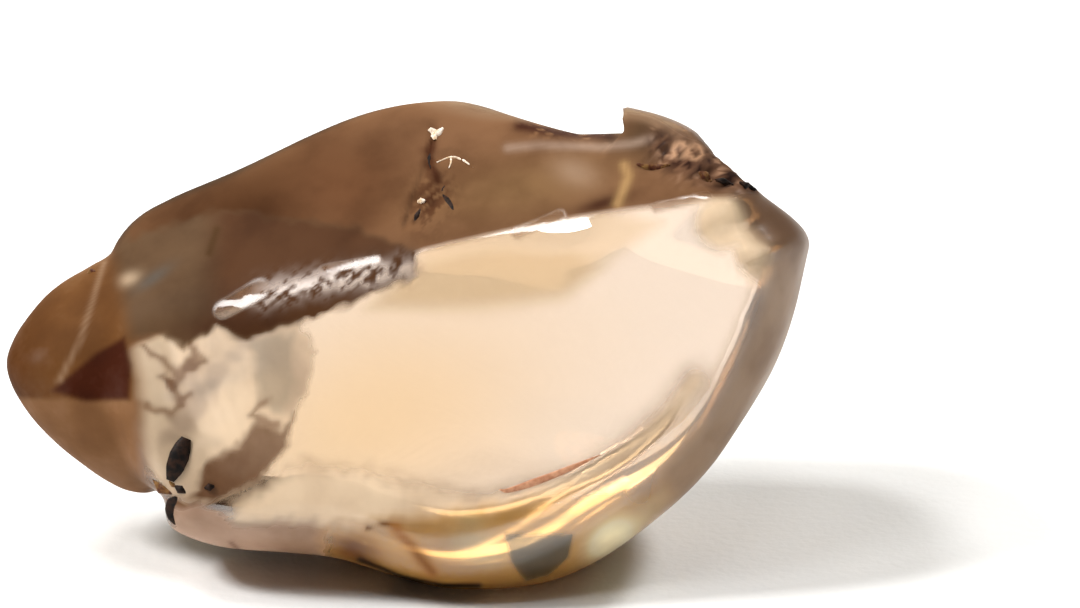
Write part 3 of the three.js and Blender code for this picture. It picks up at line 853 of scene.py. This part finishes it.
# %% The paint's colour, brown stain and painted light and shade, and how strongly some coats of it are laid on
SKIN_COLOUR = (160, 125, 95)
COLOUR_COATS = [
    ("cloud", (255, 226, 188)), ("broken", (226, 198, 164)), ("broken_mottle", (184, 156, 128)),
    ("brown_tongue", (106, 72, 46)), ("grey_tongue", (150, 130, 104)), ("broken_lines", (116, 80, 52)),
    ("top", (124, 88, 60)), ("top_left", (72, 42, 18)), ("fin_side", (70, 50, 32)),
    ("top_middle", (98, 63, 38)), ("top_right", (124, 92, 60)), ("top_sheen_spot", (150, 120, 94)),
    ("dark_streak", (70, 40, 24)), ("shoulder", (92, 68, 46)), ("shoulder_right", (78, 48, 26)),
    ("shoulder_foot", (70, 42, 24)), ("shoulder_glint", (180, 156, 128)), ("shoulder_grey", (90, 80, 70)),
    ("slit", (70, 46, 20)), ("crack_stain", (66, 34, 16)), ("crack_foot", (74, 42, 22)),
    ("top_outline_shade", (66, 46, 30)), ("saddle_crumbs", (62, 30, 18)), ("saddle_sheen", (176, 152, 134)),
    ("spindle", (170, 134, 88)), ("rim", (152, 124, 98)), ("rim_upper", (116, 86, 62)),
    ("nose", (106, 68, 34)), ("nose_tip", (82, 46, 14)), ("nose_lower", (128, 90, 58)),
    ("nose_shade", (62, 24, 7)), ("nose_crease_highlight", (170, 140, 112)), ("junction", (118, 84, 56)),
    ("pale_band", (240, 212, 178)), ("chin", (186, 152, 128)), ("chin_dark", (158, 124, 98)),
    ("golden", (255, 190, 100)), ("amber_shade", (116, 70, 32)), ("strip", (98, 68, 50)),
    ("strip_dark", (40, 18, 10)), ("strip_pale", (168, 130, 102)), ("rings", (178, 138, 106)),
    ("under_edge_shade", (30, 16, 10)), ("glows", (255, 218, 150)), ("smoky_corners", (104, 88, 60)),
    ("bright_glow_spot", (255, 240, 196)), ("gold_line", (96, 56, 22)), ("gold_diagonal", (160, 104, 52)),
    ("chin_streak", (120, 84, 60)), ("rough_ridge_sheen", (176, 160, 150)),
]
COLOUR_STRENGTH = {
    "cloud": 3, "broken_lines": 0.8, "saddle_sheen": 0.5, "nose_crease_highlight": 0.45, "bright_glow_spot": 2,
}

# %% The tint of the light that passes, painted golden on the lower edge and painted darker in the window
CLEAR_TINT = (244, 242, 248)
TINT_COATS = [
    ("window_warm", (240, 224, 202)), ("window_shade", (214, 200, 180)), ("top", (205, 170, 135)),
    ("nose", (200, 140, 90)), ("rim", (215, 185, 155)), ("golden", (240, 192, 118)),
    ("strip", (120, 90, 70)), ("glows", (255, 220, 146)), ("smoky_corners", (112, 104, 84)),
    ("smoky_lens", (120, 108, 84)), ("polished_above", (120, 84, 60)),
]

# %% The roughness
GLASSY = 0.02
ROUGH_COATS = [
    ("top", 0.50), ("nose", 0.45), ("rim", 0.20), ("golden", 0.14), ("strip", 0.45), ("shoulder", 0.40),
    ("broken", 0.35), ("chin", 0.30), ("polished", 0.05), ("rough_ridge_sheen", 0.22),
]


# %% Laying the coats on
def coated(start, coats, masks, strength=None):
    """One value or colour for each point: the start, covered by each coat as far as its mask says."""
    values = np.tile(np.atleast_1d(np.array(start, float)), (len(masks["everywhere"]), 1))
    for name, value in coats:
        for mask in np.atleast_2d(masks[name]):
            share = np.clip(mask * (strength or {}).get(name, 1), 0, 1)[:, None]
            values = values * (1 - share) + np.atleast_1d(np.array(value, float)) * share
    return values


def store(mesh, name, values):
    """Writes one value or one colour for each point on the mesh, under a name."""
    if values.shape[1] == 1:
        mesh.attributes.new(name, "FLOAT", "POINT").data.foreach_set("value", values.ravel())
    else:
        rgba = np.concatenate([values, np.ones((len(values), 1))], 1)
        mesh.attributes.new(name, "FLOAT_COLOR", "POINT").data.foreach_set("color", rgba.ravel())


def as_light(coats):
    """The same coats with each colour as the light it stands for."""
    return [(name, linear(*colour)) for name, colour in coats]


def paint_skin(mesh, points):
    """Lays share, colour, tint and roughness on the stone's mesh."""
    masks = skin_masks(*points.T)
    store(mesh, "paint_share", coated(0.0, PAINT_SHARE_COATS, masks))
    colours = coated(linear(*SKIN_COLOUR), as_light(COLOUR_COATS), masks, COLOUR_STRENGTH)
    store(mesh, "paint_colour", colours)
    store(mesh, "tint", coated(linear(*CLEAR_TINT), as_light(TINT_COATS), masks))
    store(mesh, "rough", coated(GLASSY, ROUGH_COATS, masks))
    print("masks of the skin:", len(masks), "for", len(points), "points")


# %% [markdown]
# Clear crystal is plain transmission with diamond's index, 2.417, and a brown that is in the volume: the
# longer light travels inside, the browner it comes out. The painted skin, a brown stain and in places
# painted light and shade, is a second, dull shader, mixed over it by the painted share. Fine noise breaks
# both up, and a bump adds the etching.

# %% The crystal's finish
DIAMOND_IOR = 2.417
BODY_COLOUR = (0.95, 0.80, 0.60, 1)
BODY_DENSITY = 360.0
CLOUD_SIZE, CLOUD_DETAIL = 0.7, 4
CLOUD_EDGE, CLOUD_DARKENS, CLOUD_COLOUR = (0.35, 0.75), 0.6, (0.45, 0.38, 0.33, 1)
GRAIN_SIZE, GRAIN_DETAIL = 0.09, 3
ETCHING_STRENGTH, ETCHING_HEIGHT = 0.06, 0.02 * MM
SHARE_LEAST, SHARE_BY_CLOUD = 0.85, 0.4
ROUGH_LEAST, ROUGH_BY_CLOUD = 0.75, 0.5
SKIN_ROUGHER, SKIN_SHINE = 0.2, 0.05


def crystal_finish():
    """Clear brown diamond under a painted skin, a brown stain and in places painted light and shade, both
    led by what is painted on the mesh.
    """
    f = Finish("brown_crystal")
    share = f.node("Attribute", {"attribute_name": "paint_share"}, out="Fac")
    colour = f.node("Attribute", {"attribute_name": "paint_colour"}, out="Color")
    tint = f.node("Attribute", {"attribute_name": "tint"}, out="Color")
    rough = f.node("Attribute", {"attribute_name": "rough"}, out="Fac")
    cloud = f.noise(CLOUD_SIZE, CLOUD_DETAIL)
    grain = f.noise(GRAIN_SIZE, GRAIN_DETAIL)
    darker = f.blend(cloud.rise(*CLOUD_EDGE) * CLOUD_DARKENS, colour, CLOUD_COLOUR, "MULTIPLY")
    etched = f.bump(grain * share, ETCHING_STRENGTH, ETCHING_HEIGHT)
    roughness = rough * (ROUGH_LEAST + ROUGH_BY_CLOUD * cloud)
    clear = f.node("BsdfPrincipled", sockets={
        "Base Color": tint, "Roughness": roughness, "IOR": DIAMOND_IOR, "Transmission Weight": 1.0,
        "Normal": etched})
    painted_skin = f.node("BsdfPrincipled", sockets={
        "Base Color": darker, "Roughness": roughness + SKIN_ROUGHER, "Specular IOR Level": SKIN_SHINE,
        "Normal": etched})
    amount = share * (SHARE_LEAST + SHARE_BY_CLOUD * cloud)
    both = f.node("MixShader", sockets={0: amount, 1: clear, 2: painted_skin})
    volume = f.node("VolumeAbsorption", sockets={"Color": BODY_COLOUR, "Density": BODY_DENSITY})
    f.node("OutputMaterial", sockets={"Surface": both, "Volume": volume})
    return f.material


# %% The crystal
crystal = mesh_piece("crystal", place(skin_points), squares, crystal_finish())
paint_skin(crystal.data, skin_points)
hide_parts("rough_diamond")
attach(crystal, "root")
print("crystal:", len(crystal.data.polygons), "faces")

# %% [markdown]
# Small things are shut in the crystal or stick in its skin: black mineral grains at the left and in the
# crushed strip, rusty grains beside them, pale fillings of the crack, which also stand for its glints as
# painted highlights, and two brown feathers, one low in the window and one at the slit. Each is a tapered
# bead that follows a short path, and beads of one finish are one mesh.

# %% Beads that follow the skin
SEARCH_REACH, SEARCH_HALVINGS = 2.6, 24
BEAD_STEPS = 6
BEAD_SIDES = 12


def front_level(s, t):
    """q of the front skin over points of the front view, found by halving."""
    near, far = np.zeros_like(s), np.full_like(s, SEARCH_REACH)
    for _ in range(SEARCH_HALVINGS):
        middle = (near + far) / 2
        inside = stone(s, t, middle) < 0
        near, far = np.where(inside, middle, near), np.where(inside, far, middle)
    return near


def bead(path, widths, under, flat):
    """A closed tube along a smooth path: an ellipse across, half as wide as the widths say (in mm) and
    flatter by a factor, its middle a little under the skin. Returns points and faces."""
    line = smooth_path(path, False, BEAD_STEPS)
    step = np.gradient(line, axis=0)
    side = np.stack([-step[:, 1], step[:, 0]], -1) / np.linalg.norm(step, axis=1, keepdims=True)
    u = np.linspace(0, 1, len(line))
    wide = np.interp(u, np.linspace(0, 1, len(widths)), widths)
    q = front_level(line[:, 0], line[:, 1]) - under
    around = np.linspace(0, 2 * np.pi, BEAD_SIDES, endpoint=False)
    st = line[:, None, :] + side[:, None, :] * (wide[:, None] * np.cos(around))[..., None]
    level_q = q[:, None] + wide[:, None] * flat * np.sin(around)
    rings = np.concatenate([st, level_q[..., None]], -1)
    n = np.arange(len(line) * BEAD_SIDES).reshape(len(line), BEAD_SIDES)
    after = np.roll(n, -1, axis=1)
    faces = np.stack([n[:-1], n[1:], after[1:], after[:-1]], -1).reshape(-1, 4).tolist()
    faces += [n[0].tolist(), n[-1][::-1].tolist()]
    return rings.reshape(-1, 3), faces


def bead_piece(name, beads, finish):
    """All beads of one finish as one mesh piece."""
    points, faces, used = [], [], 0
    for one in beads:
        p, f = bead(*one)
        points.append(p)
        faces += [[k + used for k in face_] for face_ in f]
        used += len(p)
    piece = mesh_piece(name, place(np.concatenate(points)), faces, finish)
    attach(piece, "root")
    print(name, len(beads), "beads,", len(faces), "faces")
    return piece


# %% Finish of the minerals
MINERAL_GRAIN, MINERAL_DETAIL, MINERAL_MIX = 0.06, 4, (0.35, 0.65)
MINERAL_BUMP, MINERAL_SHINE = 0.5, 0.15


def mineral_finish(name, dark, light, rough):
    """A dull mineral: two colours mixed by noise, over a bump of the same noise."""
    f = Finish(name)
    grain = f.noise(MINERAL_GRAIN, MINERAL_DETAIL)
    colour = f.blend(grain.rise(*MINERAL_MIX), (*linear(*dark), 1), (*linear(*light), 1))
    shader = f.node("BsdfPrincipled", sockets={
        "Base Color": colour, "Roughness": rough, "Specular IOR Level": MINERAL_SHINE,
        "Normal": f.bump(grain, MINERAL_BUMP, ETCHING_HEIGHT)})
    f.node("OutputMaterial", sockets={"Surface": shader})
    return f.material


# %% Black grains at the left, in the crushed strip and at the crack
black_grains = [
    ([(-2.38, -0.96), (-2.42, -1.06), (-2.48, -1.22), (-2.54, -1.38)],
     (0.05, 0.08, 0.10, 0.09, 0.04), -0.02, 0.4),
    ([(-2.48, -1.54), (-2.52, -1.62), (-2.53, -1.72), (-2.50, -1.82)],
     (0.02, 0.07, 0.07, 0.05, 0.01), 0.00, 0.5),
    ([(-2.20, -1.45), (-2.15, -1.44), (-2.10, -1.43)], (0.01, 0.04, 0.01), -0.02, 0.8),
    ([(-2.50, -1.42), (-2.44, -1.46), (-2.38, -1.50)], (0.01, 0.05, 0.01), 0.01, 0.8),
    ([(3.06, 1.56), (3.14, 1.52), (3.24, 1.48)], (0.01, 0.04, 0.01), -0.03, 0.6),
    ([(2.82, 1.58), (2.90, 1.57), (3.00, 1.53)], (0.01, 0.03, 0.01), -0.02, 0.6),
    ([(0.28, 1.20), (0.22, 1.32), (0.14, 1.44), (0.18, 1.54)], (0.01, 0.03, 0.04, 0.03, 0.01), 0.02, 0.7),
    ([(-0.17, 1.09), (-0.10, 1.22), (-0.04, 1.34)], (0.01, 0.04, 0.01), 0.02, 0.7),
    ([(0.03, 1.88), (0.00, 1.80), (0.02, 1.70)], (0.006, 0.018, 0.006), 0.0, 0.7),
]
black_mineral = mineral_finish("black_mineral", (12, 7, 5), (44, 26, 16), 0.6)
bead_piece("black_grains", black_grains, black_mineral)

# %% Rusty grains
rusty_grains = [
    ([(-2.72, -1.36), (-2.62, -1.44), (-2.52, -1.50)], (0.01, 0.08, 0.02), 0.02, 0.6),
    ([(-2.58, -1.30), (-2.50, -1.40), (-2.42, -1.42)], (0.01, 0.05, 0.02), 0.03, 0.6),
    ([(-3.41, 0.66), (-3.37, 0.68), (-3.33, 0.68)], (0.01, 0.04, 0.01), 0.01, 0.5),
    ([(2.05, 1.74), (2.20, 1.70), (2.38, 1.73)], (0.01, 0.04, 0.01), -0.02, 0.5),
    ([(2.66, 1.66), (2.72, 1.62), (2.78, 1.56)], (0.01, 0.05, 0.02), -0.03, 0.5),
]
rusty_mineral = mineral_finish("rusty_mineral", (74, 36, 20), (128, 92, 50), 0.5)
bead_piece("rusty_grains", rusty_grains, rusty_mineral)

# %% Pale flecks of the crack, partly painted glints
crack_flecks_and_glints = [
    ([(0.00, 2.10), (0.05, 2.05), (0.06, 1.99)], (0.02, 0.05, 0.02), -0.01, 0.5),
    ([(0.14, 2.11), (0.10, 2.06), (0.06, 2.02)], (0.01, 0.04, 0.02), -0.01, 0.5),
    ([(0.08, 1.76), (0.22, 1.81), (0.34, 1.78), (0.44, 1.71)], (0.006, 0.014, 0.014, 0.004), -0.005, 0.8),
    ([(0.20, 1.70), (0.22, 1.76), (0.22, 1.81)], (0.004, 0.01, 0.008), -0.005, 0.8),
    ([(-0.11, 1.37), (-0.07, 1.37), (-0.03, 1.38)], (0.01, 0.04, 0.01), -0.02, 0.7),
]
pale_filling_and_glint = mineral_finish("pale_filling_and_glint", (206, 176, 140), (255, 240, 222), 0.25)
bead_piece("crack_flecks_and_glints", crack_flecks_and_glints, pale_filling_and_glint)

# %% Feathers inside
brown_feathers = [
    ([(0.70, -1.46), (0.82, -1.46), (1.25, -1.31), (1.69, -1.12)],
     (0.004, 0.02, 0.035, 0.03, 0.004), -0.01, 0.3),
    ([(-2.16, 1.10), (-2.14, 1.00), (-2.10, 0.86)], (0.01, 0.035, 0.02), 0.03, 0.3),
]
brown_feather = mineral_finish("brown_feather", (176, 118, 86), (204, 150, 116), 0.5)
bead_piece("brown_feathers", brown_feathers, brown_feather)

# %% [markdown]
# The stone stands on white paper: one large square, a little rough, with a faint grain. It belongs to
# the stage and not to the stone.

# %% The paper
PAPER_HALF = 0.6
PAPER_COLOUR, PAPER_ROUGHNESS, PAPER_SHINE = (0.86, 0.86, 0.85, 1), 0.9, 0.1
PAPER_GRAINS_PER_METRE = 9000.0
PAPER_BUMP, PAPER_BUMP_HEIGHT = 0.14, 0.05 * MM


def paper_finish():
    """White paper with a faint grain."""
    f = Finish("paper")
    place_on_paper = f.node("TexCoord", out="Object")
    grain = f.node("TexNoise", sockets={"Vector": place_on_paper, "Scale": PAPER_GRAINS_PER_METRE})
    shader = f.node("BsdfPrincipled", sockets={
        "Base Color": PAPER_COLOUR, "Roughness": PAPER_ROUGHNESS, "Specular IOR Level": PAPER_SHINE,
        "Normal": f.bump(grain, PAPER_BUMP, PAPER_BUMP_HEIGHT)})
    f.node("OutputMaterial", sockets={"Surface": shader})
    return f.material


corners = np.array([(-1, -1, 0), (1, -1, 0), (1, 1, 0), (-1, 1, 0)]) * PAPER_HALF
paper = mesh_piece("paper", corners, np.array([(0, 1, 2, 3)]), paper_finish())

# %% [markdown]
# The camera looks 20 degrees down along +Y from 80 mm, so the front face is seen square on.

# %% The camera
CAMERA_AWAY = 80 * MM
PICTURE_WIDTH = 10.8 * MM
PICTURE_MIDDLE = (1.10, 0.36, 0.0)
SENSOR_WIDTH = 36
NEAREST, FARTHEST = 0.005, 5

target = Vector(place(np.array([PICTURE_MIDDLE]))[0])
back = Vector((0, -math.cos(LEAN_BACK), math.sin(LEAN_BACK)))
camera_data = bpy.data.cameras.new("camera")
camera_data.sensor_width = SENSOR_WIDTH
camera_data.lens = SENSOR_WIDTH * CAMERA_AWAY / PICTURE_WIDTH
camera_data.clip_start = NEAREST
camera_data.clip_end = FARTHEST
camera = bpy.data.objects.new("camera", camera_data)
camera.location = target + back * CAMERA_AWAY
camera.rotation_mode = "QUATERNION"
camera.rotation_quaternion = back.to_track_quat("Z", "Y")
bpy.context.scene.collection.objects.link(camera)
bpy.context.scene.camera = camera

# %% [markdown]
# Two soft lamps at the left, one low and one high, throw the soft shadow, and one at the right and behind
# lights the rim. Two small ones over the camera and at the left draw the bright streaks on the rounded
# ridge, and a wide warm one low behind makes the lower edge glow. The surroundings are pale behind the
# stone and near the floor, and dim overhead and in front: a diamond shows them far more than glass does.

# %% Lamps
LAMP_AWAY = 0.30
WHITE, WARM = (1, 1, 1), (1.0, 0.82, 0.52)


def lamp(name, around, up, size, watts, colour, long):
    """An area lamp that looks at the stone from a bearing (0 is the camera's side, positive to the
    right) and a height in degrees. It is so many times longer than it is high."""
    data = bpy.data.lights.new(name, "AREA")
    data.shape = "RECTANGLE"
    data.energy = watts
    data.size = size * long
    data.size_y = size
    data.color = colour
    a, b = math.radians(around), math.radians(up)
    towards = Vector((math.sin(a) * math.cos(b), -math.cos(a) * math.cos(b), math.sin(b)))
    item = bpy.data.objects.new(name, data)
    item.location = towards * LAMP_AWAY
    item.rotation_mode = "QUATERNION"
    item.rotation_quaternion = towards.to_track_quat("Z", "Y")
    bpy.context.scene.collection.objects.link(item)


lamp("lamp_left", -82, 47, 0.065, 0.80, WHITE, 1)
lamp("lamp_high", -104, 64, 0.06, 0.34, WHITE, 1)
lamp("lamp_right", 123, 48, 0.05, 0.57, WHITE, 1)
lamp("lamp_ridge", 6, 71, 0.024, 0.07, WHITE, 3)
lamp("lamp_streak", -51, 56, 0.046, 0.15, WHITE, 1.6)
lamp("lamp_gold", 196, 17, 0.09, 0.28, WARM, 3.2)

# %% Surroundings
PALE_BEHIND = (0.0, 0.55)
DIM_OVERHEAD = (0.60, 0.85)
DIM_SIDE, PALE_SIDE = (0.10, 0.095, 0.09, 1), (1.0, 1.0, 0.98, 1)
SURROUNDINGS_STRENGTH = 0.31

world = bpy.data.worlds.new("surroundings")
world.use_nodes = True
bpy.context.scene.world = world
w = Finish("surroundings", world.node_tree)
way = w.node("TexCoord", out="Generated")
way_y = w.node("SeparateXYZ", sockets={0: way}, out=1)
way_z = w.node("SeparateXYZ", sockets={0: way}, out=2)
pale = way_y.rise(*PALE_BEHIND) * (1 - way_z.rise(*DIM_OVERHEAD))
sky = w.blend(pale, DIM_SIDE, PALE_SIDE)
shining = w.node("Background", sockets={"Color": sky, "Strength": SURROUNDINGS_STRENGTH})
w.node("OutputWorld", sockets={"Surface": shining})

# %% [markdown]
# Light bounces many times inside a diamond before it leaves, so the bounce limits are raised. The plain
# view transform keeps the white paper white.

# %% Light limits and view
MOST_BOUNCES = 32
MOST_GLOSSY_BOUNCES = MOST_CLEAR_BOUNCES = 24

scene = bpy.context.scene
scene.cycles.max_bounces = MOST_BOUNCES
scene.cycles.glossy_bounces = MOST_GLOSSY_BOUNCES
scene.cycles.transmission_bounces = MOST_CLEAR_BOUNCES
scene.view_settings.view_transform = "Standard"
scene.view_settings.look = "None"
